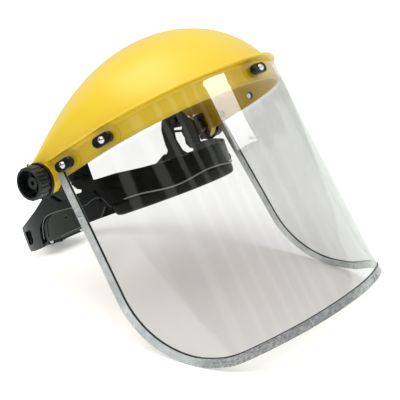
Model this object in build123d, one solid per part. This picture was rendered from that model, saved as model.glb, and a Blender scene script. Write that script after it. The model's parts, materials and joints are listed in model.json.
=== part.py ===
"""Browguard face shield on a ratchet head harness, lying tipped back on visor and ratchet."""
from build123d import *
import math
import os

os.makedirs("parts", exist_ok=True)

# ---------------------------------------------------------------- driving dimensions (mm)
# Both the guard (crown and visor) and the harness are drawn about one origin, the middle of
# the tilt axis. +X is the wearer's left, -Y the front, +Z up as worn.
SHIELD_RAISE = 10.0  # degrees the shield is flipped up from the harness

# visor sheet, 203 x 394 mm class
SHEET = 1.0
VISOR_FRONT = -148.5
VISOR_REACH = 198.0  # half the flat width
VISOR_TOP = 6.0
VISOR_BOTTOM = -191.0
VISOR_CORNER = 81.0
VISOR_BOW = 2.8  # drop of the bottom edge at the middle
FRONT_RADIUS = 133.0
FRONT_ARC = 52.5  # sheet length each side bent to FRONT_RADIUS
TEMPLE_RADIUS = 97.0
TEMPLE_ARC = 106.0
FLARE = 0.073 / 200  # curvature lost per mm below the axis
LEAN = 2.5 / 200  # front set back per mm below the axis

# aluminium U-channel on the visor's edge
CHANNEL_WIDTH = 6.75
CHANNEL_WALL = 0.8
CHANNEL_TOP = -4.0

# crown guard moulding
BAND_GAP = 2.0  # sheet outer face to band outer face, less the sheet
BAND_WALL = 2.4
BAND_BOTTOM = -7.2
RIM_Z = 9.2  # underside of the rim flange
RIM_THICK = 2.0
RIM_OVERHANG = 1.2
RIM_TIP = 8.0
EAR_RADIUS = 12.5
EAR_IN = 107.0
EAR_OUT = 115.0

# studs and their quarter-turn buttons
STUD_SPOTS = {"front": 0.0, "left_front": 143.0, "left_rear": 185.0,
              "right_front": -143.0, "right_rear": -185.0}
STUD_R = 1.9
BUTTON_LENGTH = 17.5
BUTTON_WIDTH = 8.4
BUTTON_THICK = 4.4
BUTTON_LIFT = 1.6
COLLAR_R = 3.0
STUD_HEAD_R = 3.0
TAIL_HEAD_R = 2.4
STUD_WASHER_R = 3.2

# crown dome: each fibre is a quadratic curve from the rim over a high control point to the rear arch
DOME_WALL = 2.2
DOME_OFFSET = -3.0
DOME_BASE = 9.6
DOME_RISE = 86.0  # control point above the rim at the middle
DOME_SPREAD = -0.31  # control point's share of the way in to the arch, across
DOME_SET_BACK = 0.19  # and along
ARCH_HALF_WIDTH = 113.3
ARCH_FOOT = (8.9, 15.7)  # y and z of the arch's feet
ARCH_HEIGHT = 50.6
ARCH_LEAN = 98.0  # degrees of the arch plane from the floor as worn
ARCH_POWER = 2.6

# pivot stack, distances from the middle of the head
BOSS_FOOT = 87.0
BOSS_END = 103.8
BOSS_R = 9.0
DETENT_THICK = 2.8
WASHER_THICK = 1.2
BOLT_R = 3.0
KNOB_IN = 116.6
KNOB_OUT = 130.0
KNOB_R = 13.5
KNOB_FLANGE_R = 14.6

# harness plan: superellipse of the head
HEAD_HALF_WIDTH = 84.0
HEAD_HALF_LENGTH = 105.5
HEAD_BACK = 27.2  # centre behind the tilt axis
HEAD_POWER = 2.2
BAND_THICK = 2.2
SWEAT_THICK = 4.0
SWEAT_TURN = 64.0  # degrees round the head where the sweatband ends
COVER_GAP = 0.3
COVER_THICK = 2.3
PIN_TURN = 36.0  # sweatband pins, degrees round the head from the front
PIN_Z = -34.2
PIN_R = 1.2

# strap over the crown
CROWN_HALF_WIDTH = 79.9
CROWN_RISE = 33.0
CROWN_FOOT = 17.5
CROWN_THICK = 1.5
CROWN_WIDTH = 15.0
CROWN_Y = 0.0
RIVET_R = 1.5
PEG_R = 1.4
PEG_SPOTS = (-6, 2)

# ratchet at the nape
PINION_Z = -45.0
PINION_R = 6.0
PINION_TEETH = 12
TOOTH_HALF = 0.66  # half a tooth's width on the pitch line
TOOTH_TIP = 0.8
TOOTH_ROOT = 1.1
STRAP_THICK = 1.8
STRAP_INSET = 0.4
STRAP_HALF_HEIGHT = 9.5
STRAP_START = 112.0  # degrees round the head where each back strap ends at the side
STRAP_JOIN = 158.4  # and where it turns into the straight rack
RACK_BODY_X = 26.0
RACK_END_X = 9.0
HOUSING_HALF_WIDTH = 27.0
HOUSING_HALF_HEIGHT = 15.0
HOUSING_BACK = 4.2
RATCHET_KNOB_R = 17.0
RATCHET_KNOB_LONG = 13.6


# ---------------------------------------------------------------- visor plan
def bend(z):
    """Front position, radii and angles of the sheet's plan at height z."""
    ease = 1 + FLARE * z
    r1 = FRONT_RADIUS / ease
    r2 = TEMPLE_RADIUS / ease
    a1 = FRONT_ARC / r1
    return VISOR_FRONT - LEAN * z, r1, r2, a1, a1 + TEMPLE_ARC / r2


def plan_point(s, z=0.0, offset=0.0):
    """Point of the sheet's outer face, moved outward by offset, and the outward heading."""
    front, r1, r2, a1, a2 = bend(z)
    side = math.copysign(1, s)
    s = abs(s)
    turn = min(s, FRONT_ARC) / r1 + max(0, min(s - FRONT_ARC, TEMPLE_ARC)) / r2
    x = (r1 + offset) * math.sin(min(turn, a1))
    y = front + r1 - (r1 + offset) * math.cos(min(turn, a1))
    if turn > a1:
        x += (r2 + offset) * (math.sin(turn) - math.sin(a1))
        y += (r2 + offset) * (math.cos(a1) - math.cos(turn))
    rest = max(0, s - FRONT_ARC - TEMPLE_ARC)
    x += rest * math.cos(turn)
    y += rest * math.sin(turn)
    return Vector(side * x, y, z), Vector(side * math.sin(turn), -math.cos(turn), 0)


def plan_edges(z, offset, reach):
    """Right half of the plan from the front middle: two tangent arcs and a straight side."""
    front, r1, r2, a1, a2 = bend(z)
    arc = JernArc((0, front - offset), (1, 0), r1 + offset, math.degrees(a1))
    temple = JernArc(arc @ 1, arc % 1, r2 + offset, math.degrees(a2 - a1))
    side = Line(temple @ 1, temple @ 1 + (temple % 1) * (reach - FRONT_ARC - TEMPLE_ARC))
    return [Pos(0, 0, z) * edge for edge in (arc, temple, side)]


def strip_face(z, outer, inner, reach):
    """Closed plan of a strip between two offsets of the sheet's outer face."""
    out = plan_edges(z, outer, reach)
    inn = plan_edges(z, inner, reach)
    half = out + [Line(out[2] @ 1, inn[2] @ 1)] + inn
    return make_face(half + [mirror(edge, about=Plane.YZ) for edge in half])


def strip(z_low, z_high, outer, inner, reach):
    """Flared strip of constant thickness that follows the sheet."""
    return loft([strip_face(z_low, outer, inner, reach), strip_face(z_high, outer, inner, reach)],
                ruled=True)


def upright(z_low, z_high, outer, inner, reach):
    """Strip with the plan at the axis and vertical walls."""
    return extrude(Pos(0, 0, z_low) * strip_face(0, outer, inner, reach), z_high - z_low)


def side_cutter(inset):
    """Side outline of the sheet, pulled in by inset, as a bar across the whole width."""
    corner = VISOR_CORNER - inset
    centre_s = VISOR_REACH - VISOR_CORNER
    centre_z = VISOR_BOTTOM + VISOR_CORNER

    def at(s, z):
        return (plan_point(s, z)[0].Y, z)

    top = VISOR_TOP + 60
    arc = [at(centre_s + corner * math.cos(t), centre_z - corner * math.sin(t))
           for t in [math.radians(step) for step in range(0, 91, 15)]]
    low_front = (VISOR_FRONT - 20, arc[-1][1] - VISOR_BOW)
    along_bottom = (low_front[0] - arc[-1][0], -VISOR_BOW)
    outline = [Line(at(VISOR_REACH - inset, top), arc[0]),
               Spline(*arc, tangents=[(0, -1), along_bottom]),
               Line(arc[-1], low_front),
               Line(low_front, (VISOR_FRONT - 20, top)),
               Line((VISOR_FRONT - 20, top), at(VISOR_REACH - inset, top))]
    return extrude(Plane.YZ * make_face(outline), 200, both=True)


# ---------------------------------------------------------------- shield body
def make_visor():
    sheet = strip(VISOR_BOTTOM - 10, VISOR_TOP, 0, -SHEET, VISOR_REACH) & side_cutter(0)
    for s in STUD_SPOTS.values():
        sheet -= stud_axis(s) * Cylinder(COLLAR_R + 0.1, 30)
    return sheet


def make_binding():
    """U-channel that hugs both sides of the sheet, from one rear stud round to the other."""
    shell = strip(VISOR_BOTTOM - 12, CHANNEL_TOP, CHANNEL_WALL, -SHEET - CHANNEL_WALL,
                  VISOR_REACH + CHANNEL_WALL)
    ring = (shell & side_cutter(-CHANNEL_WALL)) - side_cutter(CHANNEL_WIDTH - CHANNEL_WALL)
    return ring - make_visor()


def stud_axis(s, offset=0.0):
    """Place on the sheet at stud s: Z points outward and X runs along the band."""
    spot, out = plan_point(s, 0, offset)
    return Plane(origin=spot, x_dir=Vector(-out.Y, out.X, 0), z_dir=out).location


def make_rim():
    """Rolled flange over the visor's top edge, widest at the front."""
    reach = 202.0
    spots = [reach * step / 16 for step in range(-16, 17)]

    def overhang(s):
        tip = max(0.0, math.cos(min(abs(s) / 75, 1) * math.pi / 2)) ** 2
        return RIM_OVERHANG + (RIM_TIP - RIM_OVERHANG) * tip

    outer = Spline(*[plan_point(s, 0, overhang(s))[0] for s in spots])
    inner = plan_edges(0, -SHEET - BAND_GAP - BAND_WALL, reach)
    closing = Line(outer @ 1, inner[2] @ 1)
    edges = [outer, closing, mirror(closing, about=Plane.YZ)]
    edges += inner + [mirror(edge, about=Plane.YZ) for edge in inner]
    rim = extrude(Pos(0, 0, RIM_Z) * make_face(edges), RIM_THICK)
    lip = [edge for edge in rim.edges() if edge.length > 300 and edge.center().Y < -60]
    lip = sorted(lip, key=lambda edge: edge.length)[-2:]
    return fillet(lip, RIM_THICK * 0.42)


def dome_point(across, along):
    """Dome's outer face: across runs 0 to 1 from ear to ear, along 0 to 1 from rim to arch."""
    turn = math.pi * across
    rise = max(math.sin(turn), 0)
    rim = plan_point(VISOR_REACH * (2 * across - 1), 0, DOME_OFFSET)[0]
    rim = Vector(rim.X, rim.Y, DOME_BASE)
    lean = math.radians(ARCH_LEAN)
    height = ARCH_HEIGHT * rise ** ARCH_POWER
    arch = Vector(-ARCH_HALF_WIDTH * math.cos(turn), ARCH_FOOT[0] + height * math.cos(lean),
                  ARCH_FOOT[1] + height * math.sin(lean))
    reach = arch - rim
    control = rim + Vector(reach.X * DOME_SPREAD, reach.Y * DOME_SET_BACK, DOME_RISE * rise)
    return rim * (1 - along) ** 2 + control * (2 * along * (1 - along)) + arch * along ** 2


def make_dome():
    grid = [[dome_point(i / 28, j / 12) for j in range(13)] for i in range(29)]
    face = Face.make_surface_from_array_of_points(grid, tol=0.02, smoothing=None, min_deg=3, max_deg=5)
    inward = 1 if face.normal_at(face.center()).Z < 0 else -1
    return thicken(face, inward * DOME_WALL)


def make_crown_guard():
    """One moulding: band, stud bosses, rim flange, dome and the two pivot ears."""
    back = -SHEET - BAND_GAP
    guard = upright(BAND_BOTTOM, RIM_Z + 0.4, back, back - BAND_WALL, 212)
    guard += make_rim()
    room = strip(-12, 12, -SHEET - CHANNEL_WALL - 0.1, back - 1, VISOR_REACH)
    for s in STUD_SPOTS.values():
        boss = stud_axis(s, back - 0.6) * extrude(RectangleRounded(24, 11.5, 5), 4)
        guard += boss & room
    guard += make_dome()
    web = make_face(Polyline((-14, BAND_BOTTOM), (9, BAND_BOTTOM), (11.5, 0), (10.2, 15.0),
                             (-14, 10.6), close=True))
    for side in (1, -1):
        ear = Plane.YZ.offset(EAR_IN) * Circle(EAR_RADIUS)
        ear = extrude(ear, EAR_OUT - EAR_IN)
        plate = extrude(Plane.YZ.offset(108.6) * web, 3.6)
        both = ear + plate
        guard += both if side > 0 else mirror(both, about=Plane.YZ)
    guard -= Rot(0, 90, 0) * Cylinder(BOLT_R + 0.06, 260)
    for s in STUD_SPOTS.values():
        guard -= stud_axis(s) * Rot(0, 0, 90) * Cylinder(STUD_R + 0.05, 24)
    return guard


def make_studs():
    """Domed steel rivets: clenched tail inside the band, round head outside the button."""
    shaft_in = -SHEET - BAND_GAP - BAND_WALL - 1.95
    seat = BUTTON_LIFT + BUTTON_THICK + 0.15
    dome = Sphere(STUD_HEAD_R) & Pos(0, 0, STUD_HEAD_R) * Box(9, 9, 4)
    stud = Pos(0, 0, (shaft_in + seat) / 2 + 0.2) * Cylinder(STUD_R, seat - shaft_in + 0.4)
    stud += Pos(0, 0, seat - 1.0) * dome
    stud += Pos(0, 0, shaft_in + 0.4) * Cylinder(TAIL_HEAD_R, 0.8)
    return [stud_axis(s) * stud for s in STUD_SPOTS.values()]


def make_stud_washers():
    ring = Cylinder(STUD_WASHER_R, 1.0) - Cylinder(STUD_R + 0.05, 2)
    return [stud_axis(s, -SHEET - BAND_GAP - BAND_WALL - 0.62) * ring for s in STUD_SPOTS.values()]


def make_stud_collars():
    ring = Cylinder(COLLAR_R, BUTTON_LIFT + SHEET - 0.1) - Cylinder(STUD_R + 0.05, 9)
    return [stud_axis(s, (BUTTON_LIFT - SHEET - 0.1) / 2) * ring for s in STUD_SPOTS.values()]


def make_button(s):
    """Oval quarter-turn button with a raised middle that takes the stud head."""
    plate = extrude(SlotOverall(BUTTON_LENGTH, BUTTON_WIDTH), BUTTON_THICK)
    plate = chamfer(plate.faces().sort_by(Axis.Z)[-1].edges(), 0.6)
    plate -= Cylinder(STUD_R + 0.08, 20)
    return stud_axis(s, BUTTON_LIFT) * plate


# ---------------------------------------------------------------- pivot hardware
def along_x(x_in, x_out, radius):
    """Round bar about the tilt axis."""
    return extrude(Plane.YZ.offset(x_in) * Circle(radius), x_out - x_in)


def make_tilt_knob():
    """Ribbed friction knob: hollow face, hub with a socket, four thin webs, back flange."""
    knob = along_x(KNOB_IN, KNOB_IN + 2.2, KNOB_FLANGE_R) + along_x(KNOB_IN, KNOB_OUT, KNOB_R)
    knob = chamfer(knob.faces().sort_by(Axis.X)[-1].edges(), 0.9)
    ribs = 16
    for i in range(ribs):
        turn = 2 * math.pi * i / ribs
        flute = Pos(0, 15.0 * math.cos(turn), 15.0 * math.sin(turn)) * along_x(KNOB_IN + 2.2, KNOB_OUT + 1, 2.1)
        knob -= flute
    knob -= along_x(KNOB_IN + 4.5, KNOB_OUT + 1, 10.9)
    hub = along_x(KNOB_IN + 4, KNOB_OUT - 4.4, 4.9)
    knob += hub
    web = Pos(KNOB_IN + 6, 0, 0) * Box(4.4, 23, 0.8)
    knob += web + Rot(90, 0, 0) * web
    knob -= along_x(KNOB_IN - 1, KNOB_IN + 7.5, 3.95)
    return knob - along_x(KNOB_IN + 6, KNOB_OUT + 1, 1.9)


def make_knob_nut():
    """Round brass insert, threaded on the pivot bolt."""
    return along_x(KNOB_IN + 0.6, KNOB_IN + 7.2, 3.95) - along_x(KNOB_IN, KNOB_OUT, BOLT_R + 0.03)


def make_pivot_bolt():
    head = along_x(BOSS_FOOT - 3.4, BOSS_FOOT - 1.2, 6.0)
    return head + along_x(BOSS_FOOT - 1.2, KNOB_IN + 7.0, BOLT_R)


def make_friction_washer():
    return along_x(EAR_OUT + 0.1, EAR_OUT + 0.1 + WASHER_THICK, 9.5) - along_x(100, 130, BOLT_R + 0.05)


def make_detent_plate():
    """Brown stop plate with a tall notched tab above the axis."""
    plate = along_x(BOSS_END, BOSS_END + DETENT_THICK, 9.4)
    tab = Pos(BOSS_END + DETENT_THICK / 2, -3, 0) * Box(DETENT_THICK, 11, 25)
    plate += tab
    for y in (-6.4, -3.0, 0.4):
        plate -= Pos(0, y, 12.9) * along_x(BOSS_END - 1, BOSS_END + DETENT_THICK + 1, 0.9)
    return plate - along_x(90, 120, BOLT_R + 0.02)


# ---------------------------------------------------------------- harness plan
def head_point(turn, inset=0.0):
    """Point on the head's superellipse, pushed inward, at turn degrees from the front."""
    sine = math.sin(math.radians(turn))
    cosine = math.cos(math.radians(turn))
    power = 2 / HEAD_POWER
    px = math.copysign(abs(sine) ** power, sine)
    py = math.copysign(abs(cosine) ** power, cosine)
    nx = math.copysign(abs(px) ** (HEAD_POWER - 1), px) / HEAD_HALF_WIDTH
    ny = math.copysign(abs(py) ** (HEAD_POWER - 1), py) / HEAD_HALF_LENGTH
    size = math.hypot(nx, ny)
    return (HEAD_HALF_WIDTH * px - inset * nx / size,
            HEAD_BACK - HEAD_HALF_LENGTH * py + inset * ny / size)


def head_strip(start, end, inset_out, inset_in, z_low, z_high):
    """Upright strip of constant thickness along the head, between two turns in degrees."""
    count = max(4, round(abs(end - start) / 9))
    turns = [start + (end - start) * i / count for i in range(count + 1)]
    outer = Spline(*[head_point(turn, inset_out) for turn in turns])
    inner = Spline(*[head_point(turn, inset_in) for turn in turns])
    face = make_face([outer, inner, Line(outer @ 0, inner @ 0), Line(outer @ 1, inner @ 1)])
    return extrude(Pos(0, 0, z_low) * face, z_high - z_low)


def side_bar(points, rounding=0.0):
    """Side-view outline as a bar across the whole head."""
    face = make_face(Polyline(*points, close=True))
    if rounding:
        face = fillet(face.vertices(), rounding)
    return extrude(Plane.YZ * face, 120, both=True)


BAND_OUTLINE = [(-90, -37), (-90, -19.5), (-76, -19), (-52, -16.6), (-34, -14), (-14.8, -13.4),
                (-14.8, 7), (-2, 21), (8, 26), (19.3, 24.1), (25.8, 17), (29.4, 9.4), (30.6, -6),
                (30, -11), (33, -15), (37, -18), (40, -23), (58, -25.5), (64, -27), (64, -52), (38, -49.5), (0, -45.2),
                (-11, -44), (-17, -37)]
WINDOW_OUTLINE = [(14.5, 7.6), (-1.5, 5.8), (1.3, 1.4), (3.6, -4.5), (4.7, -11), (1, -16), (-3, -17.6),
                  (-2, -19.6), (8.5, -19.6), (13, -15.5), (16.4, -4)]
WINDOW_BAR = [(18, 6.2), (-2, 2), (-2, -0.2), (18, 3.9)]
COVER_OUTLINE = [(-17, -37), (-17, -27), (-14, -21.6), (22, -21.6), (31, -14.5), (39, -14), (47, -18),
                 (58, -23), (70, -27), (84, -31), (97, -33.5), (101.5, -40), (101, -52), (97, -56.5),
                 (80, -56), (63, -54.5), (62, -46), (58.5, -38), (51.5, -32.5), (44, -29), (0, -29.5),
                 (-6, -29.2), (-11.6, -27.4), (-14.4, -30)]
BOSS_ARM = [(76.8, -14.6), (79.2, -14.6), (94, -8.4), (94, 4), (87, 4), (87, -6.8), (82, -7.5),
            (77.5, -10.6)]
GUIDE_SLOT = [(76.5, -38), (79.5, -36.6), (92, -38.2), (92.5, -50.5), (82, -49.8), (77.8, -46.5)]


def make_headband():
    """Front band, side towers with their windows, and the pivot bosses."""
    wall = head_strip(-118, 118, 0, BAND_THICK, -60, 30)
    window = side_bar(WINDOW_OUTLINE, 0.6)
    band = (wall & side_bar(BAND_OUTLINE, 0.9)) - (window - side_bar(WINDOW_BAR))
    for side in (1, -1):
        boss = along_x(BOSS_FOOT - 1.0, BOSS_END, BOSS_R)
        boss += extrude(make_face(Polyline(*BOSS_ARM, close=True)), 7, both=True)
        boss -= along_x(90, BOSS_END - 2.6, BOSS_R - 2.0) - along_x(90, BOSS_END, BOLT_R + 2)
        boss -= along_x(BOSS_FOOT - 1.5, BOSS_END + 1, BOLT_R + 0.02)
        band += boss if side > 0 else mirror(boss, about=Plane.YZ)
    for side in (1, -1):
        band -= pin_axis(side * PIN_TURN, PIN_Z) * Cylinder(PIN_R + 0.05, 12)
        band -= pin_axis(side * 58, -24.4) * Box(5.5, 2.4, 12)
        band -= Pos(side * 84, 22.4, -35.1) * Rot(0, 90, 0) * Cylinder(1.8, 30)
        band -= crown_rivet_axis(side) * Cylinder(RIVET_R + 0.02, 14)
    return band


def pin_axis(turn, z, inset=0.0):
    """Place on the head strip: Z points outward, X runs along the band."""
    x, y = head_point(turn, inset)
    x_in, y_in = head_point(turn, inset + 1)
    out = Vector(x - x_in, y - y_in, 0)
    return Plane(origin=(x, y, z), x_dir=Vector(-out.Y, out.X, 0), z_dir=out).location


def make_side_cover(side):
    """Slotted outer cover over the rear of the side panel; the back strap runs behind it."""
    wall = head_strip(side * 52, side * 146, -COVER_GAP - COVER_THICK, -COVER_GAP, -60, 0)
    cover = wall & side_bar(COVER_OUTLINE, 1.0)
    return cover - side_bar(GUIDE_SLOT, 1.2)


def make_sweatband():
    """Soft band inside the forehead that hangs below the headband's edge."""
    inner = BAND_THICK + 0.3 + SWEAT_THICK
    pad = head_strip(-SWEAT_TURN, SWEAT_TURN, BAND_THICK + 0.3, inner, -37.3, -19.5)
    pad += head_strip(-SWEAT_TURN, SWEAT_TURN, 0.4, inner, -48, -37.3)
    for side in (1, -1):
        pad -= pin_axis(side * PIN_TURN, PIN_Z) * Pos(0, 0, -2.4) * Cylinder(PIN_R + 0.02, 6.5)
    return pad


def make_sweatband_pins():
    pin = Pos(0, 0, -2.4) * Cylinder(PIN_R, 6.4) + Pos(0, 0, 0.55) * Cylinder(2.3, 1.1)
    return [pin_axis(side * PIN_TURN, PIN_Z) * pin for side in (1, -1)]


def make_crown_strap(side):
    """Half of the strap over the head; the left half laps over the right one at the crown."""
    lift = 1.7 if side > 0 else 0.0

    def arc(inset):
        """Half ellipse across the head that lifts over the other half near the crown."""
        spots = []
        for step in range(0, 11):
            turn = 10.4 * step
            rise = CROWN_RISE - inset + lift * min(1, max(0, (turn - 50) / 25))
            spots.append((side * (CROWN_HALF_WIDTH - inset) * math.cos(math.radians(turn)),
                          CROWN_FOOT + rise * math.sin(math.radians(turn))))
        return Spline(*spots)

    top = arc(0)
    low = arc(CROWN_THICK)
    foot = [(top @ 0) - Vector(0, 8, 0), (low @ 0) - Vector(0, 8, 0)]
    edges = [top, low, Line(top @ 1, low @ 1), Line(top @ 0, foot[0]), Line(foot[0], foot[1]),
             Line(foot[1], low @ 0)]
    strap = extrude(Plane.XZ * make_face(edges), -CROWN_WIDTH)
    strap = Pos(0, CROWN_Y, 0) * strap
    strap -= crown_rivet_axis(side) * Cylinder(RIVET_R + 0.02, 14)
    holes = PEG_SPOTS if side > 0 else [-14 + 8 * i for i in range(4)]
    for x in holes:
        strap -= Pos(x, CROWN_Y + CROWN_WIDTH / 2, 60) * Cylinder(PEG_R + (0.02 if side > 0 else 0.1), 40)
    return strap


def crown_rivet_axis(side):
    return Pos(side * 81, CROWN_Y + CROWN_WIDTH / 2, 14.0) * Rot(0, side * 90, 0)


def make_crown_rivets():
    """Rivets that hold the strap's feet to the towers."""
    rivet = Cylinder(RIVET_R, 9.2) + Pos(0, 0, -4.2) * Cylinder(3.0, 1.4) + Pos(0, 0, 4.4) * Cylinder(3.0, 1.2)
    return [crown_rivet_axis(side) * rivet for side in (1, -1)]


def make_crown_pegs():
    """Two pegs of the upper half, snapped into the lower half's row of holes."""
    peg = Cylinder(PEG_R, 5.4) + Pos(0, 0, 2.45) * Cylinder(2.4, 0.9)
    top = CROWN_FOOT + CROWN_RISE
    return [Pos(x, CROWN_Y + CROWN_WIDTH / 2, top - 0.1) * peg for x in PEG_SPOTS]


# ---------------------------------------------------------------- ratchet
RACK_Y = head_point(STRAP_JOIN, STRAP_INSET + STRAP_THICK / 2)[1]
HOUSING_Y = RACK_Y + STRAP_THICK / 2 + 0.2 + HOUSING_BACK  # rear face of the housing


def plate_y(x_low, x_high, z_low, z_high, y_low, y_high):
    """Box given by its limits."""
    return Pos((x_low + x_high) / 2, (y_low + y_high) / 2, (z_low + z_high) / 2) * Box(
        x_high - x_low, y_high - y_low, z_high - z_low)


def along_y(y_low, y_high, radius, x=0.0, z=PINION_Z):
    """Round bar parallel to the ratchet's axis."""
    return Pos(x, (y_low + y_high) / 2, z) * Rot(90, 0, 0) * Cylinder(radius, y_high - y_low)


def make_back_strap(side):
    """Back strap whose inner end is a toothed rack above (left) or below (right) the pinion."""
    inset = STRAP_INSET
    low, high = PINION_Z - STRAP_HALF_HEIGHT, PINION_Z + STRAP_HALF_HEIGHT
    strap = head_strip(side * STRAP_START, side * STRAP_JOIN, inset, inset + STRAP_THICK, low, high)
    y_low, y_high = RACK_Y - STRAP_THICK / 2, RACK_Y + STRAP_THICK / 2
    join_x = head_point(STRAP_JOIN, inset + STRAP_THICK / 2)[0] + 0.6
    pitch = 2 * math.pi * PINION_R / PINION_TEETH
    slope = math.tan(math.radians(20))
    root, tip = PINION_R + TOOTH_ROOT, PINION_R - TOOTH_TIP
    teeth = []
    for k in range(math.ceil(-RACK_END_X / pitch), math.floor(RACK_BODY_X / pitch)):
        x = k * pitch
        teeth += [(x - TOOTH_HALF - TOOTH_ROOT * slope, root), (x - TOOTH_HALF + TOOTH_TIP * slope, tip),
                  (x + TOOTH_HALF - TOOTH_TIP * slope, tip), (x + TOOTH_HALF + TOOTH_ROOT * slope, root)]
    outline = [(-RACK_END_X, STRAP_HALF_HEIGHT), (-RACK_END_X, root)] + teeth
    outline += [(RACK_BODY_X, root), (RACK_BODY_X, -STRAP_HALF_HEIGHT), (join_x, -STRAP_HALF_HEIGHT),
                (join_x, STRAP_HALF_HEIGHT)]
    outline = [(side * x, PINION_Z + side * z) for x, z in outline]
    rack = extrude(Plane.XZ * make_face(Polyline(*outline, close=True)), STRAP_THICK / 2, both=True)
    return strap + Pos(0, RACK_Y, 0) * rack


def make_pinion():
    """Twelve-tooth pinion and its shaft, one moulding."""
    points = []
    for k in range(PINION_TEETH):
        middle = 2 * math.pi * (k + 0.5) / PINION_TEETH
        for radius, half in ((PINION_R - TOOTH_ROOT, 1.02), (PINION_R + TOOTH_TIP, 0.34)):
            points.append((radius, middle - half / radius))
        for radius, half in ((PINION_R + TOOTH_TIP, 0.34), (PINION_R - TOOTH_ROOT, 1.02)):
            points.append((radius, middle + half / radius))
    outline = Polyline(*[(r * math.cos(t), PINION_Z + r * math.sin(t)) for r, t in points], close=True)
    wheel = extrude(Plane.XZ * make_face(outline), STRAP_THICK / 2 - 0.1, both=True)
    return Pos(0, RACK_Y, 0) * wheel + along_y(RACK_Y, HOUSING_Y + 9, 3.0)


SCREW_SPOTS = [(x, PINION_Z + z) for x in (-21, 21) for z in (-12.2, 12.2)]


def make_housing():
    """Rear half of the ratchet case: pocket for the racks, bore for the pinion shaft."""
    front = RACK_Y - STRAP_THICK / 2 - 0.2
    case = plate_y(-HOUSING_HALF_WIDTH, HOUSING_HALF_WIDTH, PINION_Z - HOUSING_HALF_HEIGHT,
                   PINION_Z + HOUSING_HALF_HEIGHT, front, HOUSING_Y)
    case = fillet(case.edges().filter_by(Axis.Y), 5)
    pocket = STRAP_HALF_HEIGHT + 0.4
    case -= plate_y(-40, 40, PINION_Z - pocket, PINION_Z + pocket, front - 1, HOUSING_Y - HOUSING_BACK)
    case -= along_y(front, HOUSING_Y + 1, 3.06)
    for x, z in SCREW_SPOTS:
        case -= along_y(front - 1, HOUSING_Y - 1, 1.0, x, z)
    return case


def make_housing_cover():
    """Inner half of the ratchet case, against the nape pad."""
    back = RACK_Y - STRAP_THICK / 2 - 0.2
    cover = plate_y(-HOUSING_HALF_WIDTH, HOUSING_HALF_WIDTH, PINION_Z - HOUSING_HALF_HEIGHT,
                    PINION_Z + HOUSING_HALF_HEIGHT, back - 2.4, back)
    cover = fillet(cover.edges().filter_by(Axis.Y), 5)
    for x, z in SCREW_SPOTS:
        cover -= along_y(back - 3, back + 1, 1.3, x, z)
        cover -= along_y(back - 3, back - 1.2, 2.3, x, z)
    return cover


def make_housing_screws():
    back = RACK_Y - STRAP_THICK / 2 - 0.2
    return [along_y(back - 2.4, back - 1.25, 2.2, x, z) + along_y(back - 1.3, HOUSING_Y - 1.4, 0.95, x, z)
            for x, z in SCREW_SPOTS]


def make_ratchet_knob():
    """Ribbed turning knob with a ring of click notches in its hollow underside."""
    low = HOUSING_Y + 0.3
    knob = along_y(low, low + RATCHET_KNOB_LONG, RATCHET_KNOB_R)
    knob = fillet(knob.faces().sort_by(Axis.Y)[-1].edges(), 1.6)
    ribs = 18
    for k in range(ribs):
        turn = 2 * math.pi * k / ribs
        knob -= along_y(low - 1, low + 20, 1.7, (RATCHET_KNOB_R + 0.9) * math.cos(turn),
                        PINION_Z + (RATCHET_KNOB_R + 0.9) * math.sin(turn))
    knob -= along_y(low - 1, low + 7.5, 13.2)
    notches = 20
    for k in range(notches):
        turn = 2 * math.pi * (k + 0.5) / notches
        knob -= along_y(low - 1, low + 4, 0.8, 13.2 * math.cos(turn), PINION_Z + 13.2 * math.sin(turn))
    knob += along_y(low + 1.0, low + 8, 4.6)
    knob -= along_y(low + 11.6, low + 20, 11.5) - along_y(low + 11, low + 20, 5.0)
    return knob - along_y(low, HOUSING_Y + 9.2, 3.02)


def make_ratchet_spring():
    """Compression spring between the housing and the knob."""
    coil = Helix(pitch=1.7, height=5.1, radius=6.6)
    section = Plane(origin=coil @ 0, z_dir=coil % 0) * Circle(0.45)
    wire = sweep(section, path=coil)
    return Pos(0, HOUSING_Y + 1.3, PINION_Z) * Rot(-90, 0, 0) * wire


def make_ratchet_pawl():
    """Leaf fixed on the housing that clicks over the knob's notches."""
    leaf = plate_y(10.6, 12.5, PINION_Z - 3.2, PINION_Z + 3.2, HOUSING_Y, HOUSING_Y + 3)
    return leaf + along_y(HOUSING_Y, HOUSING_Y + 3, 0.6, 12.4)


def make_nape_pad():
    back = RACK_Y - STRAP_THICK / 2 - 3.0
    pad = plate_y(-25, 25, PINION_Z - 13, PINION_Z + 13, back - 5.2, back)
    return fillet(pad.edges(), 2.2)


# ---------------------------------------------------------------- assembly
def mirrored(shape):
    return mirror(shape, about=Plane.YZ)


def build_shield():
    """Pieces that flip with the visor."""
    pieces = {"crown_guard": make_crown_guard(), "visor": make_visor(), "visor_binding": make_binding(),
              "stud_rivets": make_studs(), "stud_washers": make_stud_washers(),
              "stud_collars": make_stud_collars()}
    for name, s in STUD_SPOTS.items():
        pieces["turn_button_" + name] = make_button(s)
    return pieces


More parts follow.
